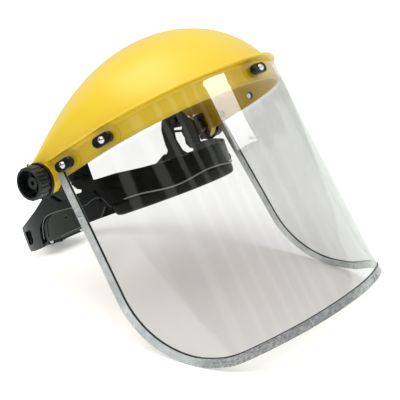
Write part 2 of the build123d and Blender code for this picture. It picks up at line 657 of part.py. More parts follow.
def build_harness():
    """Pieces that stay with the head."""
    pieces = {"headband": make_headband(), "sweatband": make_sweatband(),
              "sweatband_pins": make_sweatband_pins(),
              "crown_strap_left": make_crown_strap(1), "crown_strap_right": make_crown_strap(-1),
              "crown_rivets": make_crown_rivets(), "crown_pegs": make_crown_pegs(),
              "ratchet_housing": make_housing(), "ratchet_cover": make_housing_cover(),
              "housing_screws": make_housing_screws(), "ratchet_knob": make_ratchet_knob(),
              "ratchet_pinion": make_pinion(), "ratchet_spring": make_ratchet_spring(),
              "ratchet_pawl": make_ratchet_pawl(), "nape_pad": make_nape_pad()}
    hardware = {"tilt_knob": make_tilt_knob(), "knob_nut": make_knob_nut(),
                "pivot_bolt": make_pivot_bolt(), "friction_washer": make_friction_washer(),
                "detent_plate": make_detent_plate()}
    for name, shape in hardware.items():
        pieces[name + "_left"] = shape
        pieces[name + "_right"] = mirrored(shape)
    for side, word in ((1, "left"), (-1, "right")):
        pieces["side_cover_" + word] = make_side_cover(side)
        pieces["back_strap_" + word] = make_back_strap(side)
    return pieces


def lowest(shape, lean):
    """Height of a shape's lowest point once the guard leans back by lean degrees."""
    return (Rot(-lean, 0, 0) * shape).bounding_box().min.Z


def rest_lean(shield, harness):
    """Lean at which the visor's corners and the ratchet knob stand on one floor."""
    low, high = 20.0, 50.0
    for _ in range(14):
        lean = (low + high) / 2
        gap = lowest(shield["visor_binding"], lean) - lowest(harness["ratchet_knob"], lean - SHIELD_RAISE)
        low, high = (lean, high) if gap < 0 else (low, lean)
    return lean


def as_one(shape):
    return Compound(children=list(shape)) if isinstance(shape, list) else shape


def main():
    shield = {name: as_one(shape) for name, shape in build_shield().items()}
    harness = {name: as_one(shape) for name, shape in build_harness().items()}
    lean = rest_lean(shield, harness)
    placed = {name: Rot(-lean, 0, 0) * shape for name, shape in shield.items()}
    placed.update({name: Rot(SHIELD_RAISE - lean, 0, 0) * shape for name, shape in harness.items()})
    boxes = [shape.bounding_box() for shape in placed.values()]
    middle = (min(box.min.Y for box in boxes) + max(box.max.Y for box in boxes)) / 2
    floor = min(box.min.Z for box in boxes)
    home = Pos(0, -middle, -floor)
    for name, shape in placed.items():
        export_step(home * shape, "parts/" + name + ".step")
    print("lean", round(lean, 3), "axis at y", round(-middle, 3), "z", round(-floor, 3))
    shield_frame = home * Rot(-lean, 0, 0)
    harness_frame = home * Rot(SHIELD_RAISE - lean, 0, 0)
    for name, s in STUD_SPOTS.items():
        spot = shield_frame * stud_axis(s)
        print("button", name, spot.position, (Plane(spot)).z_dir)
    spot = harness_frame * Pos(0, RACK_Y, PINION_Z)
    print("ratchet", spot.position, "axis", Plane(harness_frame * Rot(90, 0, 0)).z_dir)


main()
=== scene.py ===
import json
import math

import bpy
from mathutils import Matrix, Vector


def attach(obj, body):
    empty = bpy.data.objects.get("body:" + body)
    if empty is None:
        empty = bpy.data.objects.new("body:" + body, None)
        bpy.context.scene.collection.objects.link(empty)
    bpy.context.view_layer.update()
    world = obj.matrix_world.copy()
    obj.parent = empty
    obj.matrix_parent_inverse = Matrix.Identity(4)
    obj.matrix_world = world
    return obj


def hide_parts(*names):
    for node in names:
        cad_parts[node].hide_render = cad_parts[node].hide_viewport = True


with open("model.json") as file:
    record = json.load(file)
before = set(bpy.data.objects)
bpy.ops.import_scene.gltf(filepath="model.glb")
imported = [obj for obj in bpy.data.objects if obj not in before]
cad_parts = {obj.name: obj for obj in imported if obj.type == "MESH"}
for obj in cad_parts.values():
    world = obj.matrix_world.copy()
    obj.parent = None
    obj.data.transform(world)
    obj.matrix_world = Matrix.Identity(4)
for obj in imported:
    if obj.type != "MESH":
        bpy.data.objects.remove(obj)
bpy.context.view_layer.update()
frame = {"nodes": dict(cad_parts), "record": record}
nodes = frame["nodes"]

MM = 0.001

# Resting pose of the two drawing frames, as the model is stored
GUARD_LEAN = math.radians(34.566)
HARNESS_LEAN = math.radians(24.566)
AXIS_Y, AXIS_Z = 56.055, 115.723
GUARD = Matrix.Translation((0, AXIS_Y * MM, AXIS_Z * MM)) @ Matrix.Rotation(-GUARD_LEAN, 4, "X")
HARNESS = Matrix.Translation((0, AXIS_Y * MM, AXIS_Z * MM)) @ Matrix.Rotation(-HARNESS_LEAN, 4, "X")

# Visor sheet and its channel (mm, guard frame)
VISOR_FRONT, VISOR_REACH, VISOR_BOTTOM, VISOR_CORNER, VISOR_BOW = -148.5, 198.0, -191.0, 81.0, 2.8
FRONT_RADIUS, FRONT_ARC, TEMPLE_RADIUS, TEMPLE_ARC = 133.0, 52.5, 97.0, 106.0
FLARE, FRONT_SET_BACK = 0.073 / 200, 2.5 / 200
CHANNEL_WIDTH, CHANNEL_WALL, CHANNEL_TOP = 6.75, 0.8, -4.0

# Head plan (mm, harness frame)
HEAD_HALF_WIDTH, HEAD_HALF_LENGTH, HEAD_BACK, HEAD_POWER = 84.0, 105.5, 27.2, 2.2
RACK_TURN, RACK_INSET = 158.4, 1.3
NAPE_GAP = 3.9  # from the racks' middle to the pad's back
NAPE_Z = -45.0


# ------------------------------------------------------------------ curves of the real parts
def sheet_point(s, z, offset=0.0):
    """Point on the sheet's outer face, s mm round from the middle, and its outward heading."""
    ease = 1 + FLARE * z
    r1, r2 = FRONT_RADIUS / ease, TEMPLE_RADIUS / ease
    a1 = FRONT_ARC / r1
    side = math.copysign(1, s)
    s = abs(s)
    turn = min(s, FRONT_ARC) / r1 + max(0, min(s - FRONT_ARC, TEMPLE_ARC)) / r2
    x = (r1 + offset) * math.sin(min(turn, a1))
    y = VISOR_FRONT - FRONT_SET_BACK * z + r1 - (r1 + offset) * math.cos(min(turn, a1))
    if turn > a1:
        x += (r2 + offset) * (math.sin(turn) - math.sin(a1))
        y += (r2 + offset) * (math.cos(a1) - math.cos(turn))
    rest = max(0, s - FRONT_ARC - TEMPLE_ARC)
    x += rest * math.cos(turn)
    y += rest * math.sin(turn)
    return Vector((side * x, y, z)), Vector((side * math.sin(turn), -math.cos(turn), 0))


def head_point(turn, inset=0.0):
    """Point on the head's plan, turn degrees round from the front, moved inward by inset."""
    sine, cosine = math.sin(math.radians(turn)), math.cos(math.radians(turn))
    power = 2 / HEAD_POWER
    px = math.copysign(abs(sine) ** power, sine)
    py = math.copysign(abs(cosine) ** power, cosine)
    nx = math.copysign(abs(px) ** (HEAD_POWER - 1), px) / HEAD_HALF_WIDTH
    ny = math.copysign(abs(py) ** (HEAD_POWER - 1), py) / HEAD_HALF_LENGTH
    size = math.hypot(nx, ny)
    return Vector((HEAD_HALF_WIDTH * px - inset * nx / size,
                   HEAD_BACK - HEAD_HALF_LENGTH * py + inset * ny / size, 0))


def edge_spots(inset, step=4.0):
    """(s, z) spots along the visor's edge, pulled in by inset: down a side, then to the middle."""
    corner = VISOR_CORNER - inset
    centre_s, centre_z = VISOR_REACH - VISOR_CORNER, VISOR_BOTTOM + VISOR_CORNER
    spots = []
    z = CHANNEL_TOP
    while z > centre_z:
        spots.append((VISOR_REACH - inset, z))
        z -= step
    for i in range(25):
        t = math.pi / 2 * i / 24
        spots.append((centre_s + corner * math.cos(t), centre_z - corner * math.sin(t)))
    end_z = VISOR_BOTTOM + inset
    end_y = sheet_point(centre_s, end_z)[0].y
    s = centre_s - step
    while s >= 0:
        z = end_z
        for _ in range(4):
            y = sheet_point(s, z)[0].y
            z = end_z - VISOR_BOW * (end_y - y) / (end_y - (VISOR_FRONT - 20))
        spots.append((s, z))
        s -= step
    return spots


# ------------------------------------------------------------------ meshes
def add_piece(name, verts, faces, material, smooth=True, place=None, uvs=None):
    mesh = bpy.data.meshes.new(name)
    if place is not None:
        verts = [place @ (Vector(v) * MM) for v in verts]
    mesh.from_pydata([tuple(v) for v in verts], [], faces)
    if uvs is not None:
        layer = mesh.uv_layers.new(name="UVMap")
        for loop in mesh.loops:
            layer.data[loop.index].uv = uvs[loop.vertex_index]
    mesh.materials.append(material)
    for poly in mesh.polygons:
        poly.use_smooth = smooth
    mesh.update()
    piece = bpy.data.objects.new(name, mesh)
    bpy.context.scene.collection.objects.link(piece)
    return piece


def tube_faces(rings, around, closed_ends=True):
    """Quads that join rings of vertices, with flat ends."""
    faces = []
    for i in range(rings - 1):
        for j in range(around):
            k = (j + 1) % around
            here, there = i * around, (i + 1) * around
            faces.append((here + j, here + k, there + k, there + j))
    if closed_ends:
        faces.append(tuple(reversed(range(around))))
        faces.append(tuple(range((rings - 1) * around, rings * around)))
    return faces


# ------------------------------------------------------------------ materials
class Nodes:
    """Short names for a material's nodes."""

    def __init__(self, name):
        self.material = bpy.data.materials.new(name)
        self.material.use_nodes = True
        self.tree = self.material.node_tree
        self.shader = self.tree.nodes["Principled BSDF"]
        self.output = self.tree.nodes["Material Output"]
        self.coords = self.tree.nodes.new("ShaderNodeTexCoord")

    def new(self, kind, **values):
        node = self.tree.nodes.new(kind)
        for key, value in values.items():
            setattr(node, key, value)
        return node

    def link(self, source, target):
        self.tree.links.new(source, target)

    def set(self, **values):
        for key, value in values.items():
            self.shader.inputs[key.replace("_", " ")].default_value = value

    def place(self, scale=(1, 1, 1), turn=(0, 0, 0), source="Object"):
        node = self.new("ShaderNodeMapping")
        node.inputs["Scale"].default_value = scale
        node.inputs["Rotation"].default_value = turn
        self.link(self.coords.outputs[source], node.inputs["Vector"])
        return node.outputs["Vector"]

    def guard_height(self):
        """Height above the visor's top edge, in metres, square to the rim."""
        vector = self.place(turn=(GUARD_LEAN, 0, 0))
        home = Matrix.Rotation(GUARD_LEAN, 3, "X") @ Vector((0, AXIS_Y, AXIS_Z)) * MM
        vector.node.inputs["Location"].default_value = -home
        parts = self.new("ShaderNodeSeparateXYZ")
        self.link(vector, parts.inputs[0])
        return parts.outputs["Z"]

    def noise(self, scale, detail=3.0, rough=0.5, vector=None, distortion=0.0):
        node = self.new("ShaderNodeTexNoise")
        node.inputs["Scale"].default_value = scale
        node.inputs["Detail"].default_value = detail
        node.inputs["Roughness"].default_value = rough
        node.inputs["Distortion"].default_value = distortion
        self.link(vector if vector else self.coords.outputs["Object"], node.inputs["Vector"])
        return node.outputs["Fac"]

    def span(self, value, low, high, out_low, out_high):
        node = self.new("ShaderNodeMapRange")
        for key, number in (("From Min", low), ("From Max", high),
                            ("To Min", out_low), ("To Max", out_high)):
            node.inputs[key].default_value = number
        self.link(value, node.inputs["Value"])
        return node.outputs["Result"]

    def blend(self, factor, first, second, mode="MIX"):
        node = self.new("ShaderNodeMix", data_type="RGBA", blend_type=mode)
        if isinstance(factor, (int, float)):
            node.inputs[0].default_value = factor
        else:
            self.link(factor, node.inputs[0])
        for socket, value in ((node.inputs[6], first), (node.inputs[7], second)):
            if isinstance(value, tuple):
                socket.default_value = (*value, 1)
            else:
                self.link(value, socket)
        return node.outputs[2]

    def math(self, operation, first, second=0.0):
        node = self.new("ShaderNodeMath", operation=operation)
        for socket, value in ((node.inputs[0], first), (node.inputs[1], second)):
            if isinstance(value, (int, float)):
                socket.default_value = value
            else:
                self.link(value, socket)
        return node.outputs[0]

    def bump(self, height, strength, distance, normal=None):
        node = self.new("ShaderNodeBump")
        node.inputs["Strength"].default_value = strength
        node.inputs["Distance"].default_value = distance
        self.link(height, node.inputs["Height"])
        if normal:
            self.link(normal, node.inputs["Normal"])
        return node.outputs["Normal"]

    def finish(self, colour=None, roughness=None, normal=None):
        if colour is not None:
            self.link(colour, self.shader.inputs["Base Color"])
        if roughness is not None:
            self.link(roughness, self.shader.inputs["Roughness"])
        if normal is not None:
            self.link(normal, self.shader.inputs["Normal"])
        return self.material


def yellow_plastic():
    n = Nodes("yellow_moulding")
    cloud = n.noise(9, 3, 0.55)
    speck = n.noise(700, 2, 0.6)
    flow = n.noise(26, 4, 0.6, n.place((1, 0.12, 1), (-GUARD_LEAN, 0, 0)), 0.6)
    colour = n.blend(n.span(cloud, 0.35, 0.65, 0, 1), (0.74, 0.51, 0.010), (0.78, 0.55, 0.015))
    colour = n.blend(n.span(flow, 0.55, 0.8, 0, 0.35), colour, (0.80, 0.60, 0.035))
    colour = n.blend(n.span(speck, 0.62, 0.8, 0, 0.18), colour, (0.70, 0.43, 0.02))
    rough = n.span(cloud, 0.3, 0.7, 0.38, 0.48)
    normal = n.bump(n.noise(1300, 2, 0.5), 0.10, 0.0002)
    normal = n.bump(n.noise(38, 2, 0.5), 0.16, 0.0006, normal)
    n.set(Specular_IOR_Level=0.45, Coat_Weight=0.5, Coat_Roughness=0.34)
    return n.finish(colour, rough, normal)


def black_plastic(name, base, rough_low, rough_high, ripple, shine=0.3):
    n = Nodes(name)
    n.set(Specular_IOR_Level=shine)
    cloud = n.noise(30, 3, 0.55)
    colour = n.blend(n.span(cloud, 0.35, 0.7, 0, 1), base, tuple(c * 1.6 + 0.001 for c in base))
    scuff = n.noise(220, 4, 0.7, n.place((1, 0.2, 1.6)))
    colour = n.blend(n.span(scuff, 0.68, 0.88, 0, 0.16), colour, (0.09, 0.095, 0.09))
    rough = n.span(scuff, 0.3, 0.8, rough_low, rough_high)
    normal = n.bump(n.noise(1100, 2, 0.5), 0.06, 0.00015)
    normal = n.bump(n.noise(45, 2, 0.4), ripple, 0.0007, normal)
    return n.finish(colour, rough, normal)


def aluminium():
    n = Nodes("aluminium_channel")
    cloud = n.noise(55, 4, 0.6)
    scratch = n.noise(240, 5, 0.7, n.place((0.5, 3.0, 0.35), (-GUARD_LEAN, 0, 0)), 0.8)
    dent = n.noise(120, 2, 0.5, None, 0.5)
    colour = n.blend(n.span(cloud, 0.35, 0.7, 0, 1), (0.50, 0.515, 0.53), (0.74, 0.745, 0.745))
    colour = n.blend(n.span(scratch, 0.55, 0.75, 0, 0.55), colour, (0.30, 0.31, 0.33))
    # Darker along the channel's bottom edge: painted shade, broken into mottled patches that stand
    # for scratching.
    bottom_shade = n.span(n.guard_height(), -0.182, -0.170, 1, 0)
    patches = n.noise(420, 5, 0.75, n.place((0.6, 1.4, 1.4), (-GUARD_LEAN, 0, 0)))
    mottle = n.span(patches, 0.42, 0.62, 0.25, 0.85)
    colour = n.blend(n.math("MULTIPLY", bottom_shade, mottle), colour, (0.13, 0.135, 0.15))
    rough = n.span(scratch, 0.3, 0.75, 0.24, 0.42)
    normal = n.bump(scratch, 0.25, 0.0003)
    normal = n.bump(dent, 0.30, 0.0012, normal)
    n.set(Metallic=0.62)
    return n.finish(colour, rough, normal)


def metal(name, dark, light, rough_low, rough_high, scale=180):
    n = Nodes(name)
    cloud = n.noise(scale, 4, 0.6)
    colour = n.blend(n.span(cloud, 0.35, 0.7, 0, 1), dark, light)
    rough = n.span(cloud, 0.3, 0.7, rough_low, rough_high)
    normal = n.bump(n.noise(scale * 5, 3, 0.6), 0.08, 0.0001)
    n.set(Metallic=1.0)
    return n.finish(colour, rough, normal)


def fibre():
    n = Nodes("brown_fibre")
    grain = n.noise(160, 5, 0.7, n.place((1, 4, 1)))
    colour = n.blend(n.span(grain, 0.3, 0.7, 0, 1), (0.045, 0.018, 0.009), (0.11, 0.05, 0.026))
    return n.finish(colour, n.span(grain, 0.3, 0.7, 0.35, 0.55), n.bump(grain, 0.3, 0.0003))


def clear_sheet():
    """Thin tinted polycarbonate: what is behind shows straight through, with gloss by facing."""
    n = Nodes("clear_polycarbonate")
    facing = n.new("ShaderNodeLayerWeight")
    facing.inputs["Blend"].default_value = 0.5
    fifth = n.math("POWER", facing.outputs["Facing"], 5.0)
    gloss_share = n.math("MULTIPLY_ADD", fifth, 0.93)
    gloss_share.node.inputs[2].default_value = 0.045
    haze = n.noise(14, 3, 0.6)
    tint = n.blend(n.span(haze, 0.35, 0.7, 0, 1), (0.832, 0.831, 0.828), (0.850, 0.849, 0.847))
    # Clearer along the top strip. The darker tint below is partly the sheet's own tint and partly
    # painted shade for the floor seen through it.
    tint = n.blend(n.span(n.guard_height(), -0.012, -0.004, 0, 1), tint, (0.955, 0.952, 0.945))
    through = n.new("ShaderNodeBsdfTransparent")
    n.link(tint, through.inputs["Color"])
    wipe = n.noise(120, 4, 0.6, n.place((1, 0.1, 0.1)))
    n.set(Metallic=1.0)
    colour = n.blend(wipe, (0.96, 0.96, 0.97), (1.0, 1.0, 1.0))
    n.finish(colour, n.span(wipe, 0.3, 0.8, 0.010, 0.03))
    mixed = n.new("ShaderNodeMixShader")
    n.link(gloss_share, mixed.inputs[0])
    n.link(through.outputs[0], mixed.inputs[1])
    n.link(n.shader.outputs[0], mixed.inputs[2])
    n.link(mixed.outputs[0], n.output.inputs["Surface"])
    return n.material


def soft_cover(name, base, light, weave):
    """Perforated soft cover: weave and pin holes run in the piece's own length and width, in mm."""
    n = Nodes(name)
    cells = n.new("ShaderNodeTexVoronoi", voronoi_dimensions="2D")
    cells.inputs["Randomness"].default_value = 0.0
    cells.inputs["Scale"].default_value = 0.33
    n.link(n.coords.outputs["UV"], cells.inputs["Vector"])
    holes = n.span(cells.outputs["Distance"], 0.12, 0.2, 0, 1)
    threads = n.new("ShaderNodeTexWave", wave_type="BANDS", bands_direction="DIAGONAL")
    threads.inputs["Scale"].default_value = weave
    threads.inputs["Distortion"].default_value = 1.2
    n.link(n.coords.outputs["UV"], threads.inputs["Vector"])
    cloud = n.noise(60, 3, 0.6)
    colour = n.blend(n.span(cloud, 0.3, 0.7, 0, 1), base, light)
    # Pin holes painted near-black: painted shade inside the holes.
    colour = n.blend(holes, (0.004, 0.004, 0.004), colour)
    normal = n.bump(threads.outputs["Fac"], 0.18, 0.0003)
    normal = n.bump(holes, 0.5, 0.0005, normal)
    n.set(Sheen_Weight=0.04, Sheen_Roughness=0.5, Specular_IOR_Level=0.35)
    return n.finish(colour, n.span(cloud, 0.3, 0.7, 0.32, 0.5), normal)


YELLOW = yellow_plastic()
GLOSS_BLACK = black_plastic("black_gloss", (0.003, 0.0036, 0.0034), 0.10, 0.28, 0.12)
SATIN_BLACK = black_plastic("black_satin", (0.005, 0.006, 0.0075), 0.34, 0.46, 0.08, 0.22)
KNOB_BLACK = black_plastic("black_knob", (0.007, 0.0078, 0.0084), 0.20, 0.36, 0.08, 0.4)
BOLT_BLACK = black_plastic("blackened_bolt", (0.01, 0.01, 0.011), 0.3, 0.42, 0.08, 0.6)
ALUMINIUM = aluminium()
STEEL = metal("bright_steel", (0.62, 0.62, 0.64), (0.82, 0.82, 0.83), 0.10, 0.22)
DULL_STEEL = metal("zinc_steel", (0.12, 0.12, 0.12), (0.25, 0.25, 0.25), 0.28, 0.42)
BRASS = metal("turned_brass", (0.50, 0.34, 0.12), (0.72, 0.52, 0.22), 0.2, 0.34)
FIBRE = fibre()
CLEAR = clear_sheet()
PAD = soft_cover("sweatband_cover", (0.005, 0.005, 0.005), (0.011, 0.011, 0.010), 1.6)
FOAM = soft_cover("nape_cover", (0.012, 0.012, 0.012), (0.026, 0.026, 0.025), 2.2)
THREAD = black_plastic("black_thread", (0.02, 0.02, 0.02), 0.5, 0.7, 0.1)
PIPING = black_plastic("grey_piping", (0.30, 0.305, 0.305), 0.4, 0.55, 0.1, 0.5)
# Light grey: painted highlight along the side covers' ridge.
RIDGE_HIGHLIGHT = black_plastic("ridge_painted_highlight", (0.09, 0.095, 0.10), 0.3, 0.45, 0.1, 0.6)
# Near-black: painted shade where the channel's lip meets the sheet.
LIP_SHADE = black_plastic("lip_painted_shade", (0.012, 0.012, 0.013), 0.4, 0.6, 0.1)

BY_SLOT = {"yellow_plastic": YELLOW, "clear_sheet": CLEAR, "aluminium": ALUMINIUM, "steel": STEEL,
           "black_plastic": GLOSS_BLACK, "brass": BRASS, "brown_fibre": FIBRE, "sweat_fabric": PAD,
           "nape_foam": FOAM}
BY_NODE = {"side_cover_left": SATIN_BLACK, "side_cover_right": SATIN_BLACK,
           "tilt_knob_left": KNOB_BLACK, "tilt_knob_right": KNOB_BLACK, "ratchet_knob": KNOB_BLACK,
           "ratchet_housing": SATIN_BLACK, "stud_washers": DULL_STEEL,
            "friction_washer_left": DULL_STEEL,
           "friction_washer_right": DULL_STEEL, "pivot_bolt_left": BOLT_BLACK,
           "pivot_bolt_right": BOLT_BLACK, "stud_collars": DULL_STEEL, "crown_rivets": BOLT_BLACK}

slots = {part["node"]: part["material_slot"] for part in frame["record"]["subparts"]}
for name, piece in nodes.items():
    chosen = BY_NODE.get(name, BY_SLOT[slots[name]])
    if not piece.material_slots:
        piece.data.materials.append(chosen)
    for place in piece.material_slots:
        place.material = chosen


# ------------------------------------------------------------------ soft pieces
def sweep_pad(name, outline, turns, place, material, crown, node):
    """Pad swept round the head: (inset, z) outline, pinched at its ends and gently crowned."""
    around = len(outline)
    lengths = [0.0]
    for a, b in zip(outline, outline[1:] + outline[:1]):
        lengths.append(lengths[-1] + math.dist(a, b))
    middle = (sum(p[0] for p in outline) / around, sum(p[1] for p in outline) / around)
    verts, uvs, run, last = [], [], 0.0, None
    for i, turn in enumerate(turns):
        end = min(i, len(turns) - 1 - i)
        pinch = 1 - 0.55 * (1 - min(end / 3, 1)) ** 2
        base = head_point(turn)
        run += (base - last).length if last is not None else 0.0
        last = base
        puff = 1 + crown * math.sin(math.radians(turn * 11.25)) ** 2
        for j, (inset, z) in enumerate(outline):
            pulled = middle[0] + (inset - middle[0]) * pinch
            if inset > middle[0]:
                pulled = middle[0] + (pulled - middle[0]) * puff
            spot = head_point(turn, pulled)
            verts.append((spot.x, spot.y, middle[1] + (z - middle[1]) * (0.7 + 0.3 * pinch)))
            uvs.append((run, lengths[j]))
    piece = add_piece(name, verts, tube_faces(len(turns), around), material, place=place, uvs=uvs)
    smooth = piece.modifiers.new("Subdivision", "SUBSURF")
    smooth.levels = smooth.render_levels = 1
    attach(piece, "harness")
    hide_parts(node)
    return piece


def capsule_rows(name, spots, radius, material, body):
    """Stitches: short capsules from point to point, in millimetres, in the harness frame."""
    verts, faces = [], []
    for start, end in spots:
        start, end = Vector(start), Vector(end)
        along = (end - start).normalized()
        side = along.orthogonal().normalized()
        other = along.cross(side)
        base = len(verts)
        stations = ((-0.5, 0.35), (0.15, 0.9), (0.5, 1.0), (0.85, 0.9), (1.5, 0.35))
        for share, swell in stations:
            share = min(max(share, -0.12), 1.12)
            centre = start.lerp(end, share)
            for k in range(6):
                turn = math.tau * k / 6
                way = side * math.cos(turn) + other * math.sin(turn)
                verts.append(centre + way * radius * swell)
        for face in tube_faces(len(stations), 6):
            faces.append(tuple(base + v for v in face))
    piece = add_piece(name, verts, faces, material, place=HARNESS)
    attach(piece, body)
    return piece


BAND_TURNS = [-64 + 128 * i / 96 for i in range(97)]
SWEAT_OUTLINE = [(2.7, -20.0), (3.6, -19.6), (5.2, -20.2), (6.2, -22.0), (6.5, -26.0), (6.5, -30.0),
                 (6.1, -34.0), (5.5, -36.2), (4.6, -37.4), (5.5, -38.6), (6.2, -41.0), (6.3, -44.0),
                 (5.6, -46.6), (4.2, -47.9), (2.4, -47.9), (1.0, -46.8), (0.6, -44.0), (0.6, -40.0),
                 (1.2, -38.0), (2.6, -37.6), (2.6, -34.0), (2.6, -28.0), (2.6, -23.0)]
sweatband = sweep_pad("sweatband_pad", SWEAT_OUTLINE, BAND_TURNS, HARNESS, PAD, 0.05, "sweatband")

stitches = []
for depth, z in ((6.35, -22.6), (4.9, -37.4)):
    turn = -61.0
    while turn < 61:
        a, b = head_point(turn, depth), head_point(turn + 1.15, depth)
        stitches.append(((a.x, a.y, z), (b.x, b.y, z)))
        turn += 2.0
capsule_rows("sweatband_stitches", stitches, 0.28, THREAD, "harness")


def side_turn(y):
    """Degrees round the head of a spot at y on its side."""
    share = (HEAD_BACK - y) / HEAD_HALF_LENGTH
    return math.degrees(math.acos(math.copysign(abs(share) ** (HEAD_POWER / 2), share)))


def bead(name, spots, radius, material, place, body, around=8):
    """Closed-ended tube through the spots, in mm, tapered at both ends."""
    verts = []
    for i, spot in enumerate(spots):
        before, after = spots[max(i - 1, 0)], spots[min(i + 1, len(spots) - 1)]
        along = (after - before).normalized()
        side = along.cross(Vector((0, 0, 1))).normalized()
        other = along.cross(side)
        taper = min(1.0, 0.3 + min(i, len(spots) - 1 - i) / 5)
        for k in range(around):
            turn = math.tau * k / around
            verts.append(spot + (side * math.cos(turn) + other * math.sin(turn)) * radius * taper)
    piece = add_piece(name, verts, tube_faces(len(spots), around), material, place=place)
    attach(piece, body)
    return piece


PIPING_TURN, PIPING_Z, PIPING_PERIOD = 57.0, -37.6, 50.0
piping = []
for i in range(241):
    turn = -PIPING_TURN + 2 * PIPING_TURN * i / 240
    spot = head_point(turn, 0.1)
    wave = 1.35 - 0.65 * turn / PIPING_TURN
    spot.z = PIPING_Z + wave * math.cos(math.tau * (turn + 3) / PIPING_PERIOD)
    piping.append(spot)
bead("headband_piping", piping, 0.6, PIPING, HARNESS, "harness")

COVER_FACE = -2.6  # inset of the side covers' outer faces
BAND_FACE = -0.1  # and of the headband's, in front of them
COVER_START_Y = -16.5
RIDGE = [(57, -48), (56, -44), (52, -36.5), (46, -31), (37, -28.6), (17, -28.6),
         (-3, -30.4), (-10, -28.4), (-16, -28), (-19.7, -32.6), (-23, -40)]


def smooth_path(points, steps):
    """Catmull-Rom path through flat points."""
    ends = [points[0]] + points + [points[-1]]
    path = []
    for a, b, c, d in zip(ends, ends[1:], ends[2:], ends[3:]):
        for k in range(steps):
            t = k / steps
            path.append(tuple(0.5 * (2 * q + (r - p) * t + (2 * p - 5 * q + 4 * r - s) * t * t
                                     + (3 * q - p - 3 * r + s) * t ** 3)
                              for p, q, r, s in zip(a, b, c, d)))
    return path + [points[-1]]


# Light grey beads along the covers' recess edges: a painted highlight on the ridge.
for word, side in (("left", 1), ("right", -1)):
    ridge = []
    for y, z in smooth_path(RIDGE, 10):
        inset = COVER_FACE if y > COVER_START_Y else BAND_FACE
        spot = head_point(side * side_turn(y), inset)
        spot.z = z
        ridge.append(spot)
    bead("cover_ridge_" + word, ridge, 0.42, RIDGE_HIGHLIGHT, HARNESS, "harness")


NAPE_BACK = head_point(RACK_TURN, RACK_INSET).y - NAPE_GAP


def nape_cushion():
    """Crowned pad on the ratchet case, with a sewn channel round it."""
    half_x, half_z = 24.4, 12.6
    columns, rows = 34, 20
    verts, uvs = [], []
    for layer in (0, 1):
        for j in range(rows + 1):
            for i in range(columns + 1):
                u, v = -1 + 2 * i / columns, -1 + 2 * j / rows
                rim = max(abs(u) ** 5, abs(v) ** 5)
                squeeze = math.sqrt(max(0.0, 1 - rim))
                x = half_x * u * (1 - 0.05 * v * v)
                z = half_z * v * (1 - 0.06 * u * u)
                groove = 0.7 * math.exp(-((abs(v) - 0.72) / 0.06) ** 2)
                groove += 0.7 * math.exp(-((abs(u) - 0.84) / 0.035) ** 2)
                middle = NAPE_BACK - 2.6
                depth = 2.5 * squeeze
                if layer == 0:
                    crown = 0.55 + 0.45 * (1 - u * u) * (1 - v * v)
                    y = middle - depth * crown + groove * squeeze
                else:
                    y = middle + depth
                verts.append((x, y, NAPE_Z + z))
                uvs.append((x + 30, z + 30))
    faces = []
    size = (columns + 1) * (rows + 1)
    for layer in (0, 1):
        for j in range(rows):
            for i in range(columns):
                a = layer * size + j * (columns + 1) + i
                quad = (a, a + 1, a + columns + 2, a + columns + 1)
                faces.append(quad if layer == 0 else tuple(reversed(quad)))
    rim = list(range(columns + 1))
    rim += [j * (columns + 1) + columns for j in range(1, rows + 1)]
    rim += [rows * (columns + 1) + i for i in range(columns - 1, -1, -1)]
    rim += [j * (columns + 1) for j in range(rows - 1, 0, -1)]
    for a, b in zip(rim, rim[1:] + rim[:1]):
        faces.append((b, a, a + size, b + size))
    piece = add_piece("nape_cushion", verts, faces, FOAM, place=HARNESS, uvs=uvs)
    smooth = piece.modifiers.new("Subdivision", "SUBSURF")
    smooth.levels = smooth.render_levels = 1
    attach(piece, "harness")
    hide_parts("nape_pad")


# ------------------------------------------------------------------ channel details
def channel_shade_bead(name, inset, offset, radius, step=2.0):
    """Thin dark bead where the channel's lip meets the sheet, down the sides and the bottom: a
    painted shade line under the lip.
    """
    half = edge_spots(inset, step)
    spots = [(-s, z) for s, z in half] + [(s, z) for s, z in reversed(half[:-1])]
    verts = []
    for i, (s, z) in enumerate(spots):
        here, out = sheet_point(s, z, offset)
        before = sheet_point(*spots[max(i - 1, 0)], offset)[0]
        after = sheet_point(*spots[min(i + 1, len(spots) - 1)], offset)[0]
        along = (after - before).normalized()
        across = along.cross(out).normalized()
        for k in range(6):
            turn = math.tau * k / 6
            verts.append(here + (out * math.cos(turn) + across * math.sin(turn)) * radius)
    piece = add_piece(name, verts, tube_faces(len(spots), 6), LIP_SHADE, place=GUARD)
    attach(piece, "shield")
    return piece


SIDE_STRETCH = 12  # a fold this near the sheet's side edge lies across a side channel


def crimp(name, spots, width, height):
    """Pinched folds on the channel's outer wall: each has its middle (s, z), reach and lean."""
    verts, faces = [], []
    for s, z, reach, lean in spots:
        base = len(verts)
        rows, columns = 7, 9
        for j in range(rows):
            for i in range(columns):
                u, v = -1 + 2 * i / (columns - 1), -1 + 2 * j / (rows - 1)
                across = u * reach
                along = v * width + lean * across
                if abs(s) > VISOR_REACH - SIDE_STRETCH:
                    here, out = sheet_point(s + across, z + along)
                else:
                    here, out = sheet_point(s + along, z + across)
                bulge = height * (1 - v * v) ** 2 * (1 - u ** 4) + CHANNEL_WALL - 0.05
                verts.append(here + out * bulge)
        for j in range(rows - 1):
            for i in range(columns - 1):
                a = base + j * columns + i
                faces.append((a, a + 1, a + columns + 1, a + columns))
    piece = add_piece(name, verts, faces, ALUMINIUM, place=GUARD)
    thick = piece.modifiers.new("Solidify", "SOLIDIFY")
    thick.thickness = 0.12 * MM
    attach(piece, "shield")
    return piece


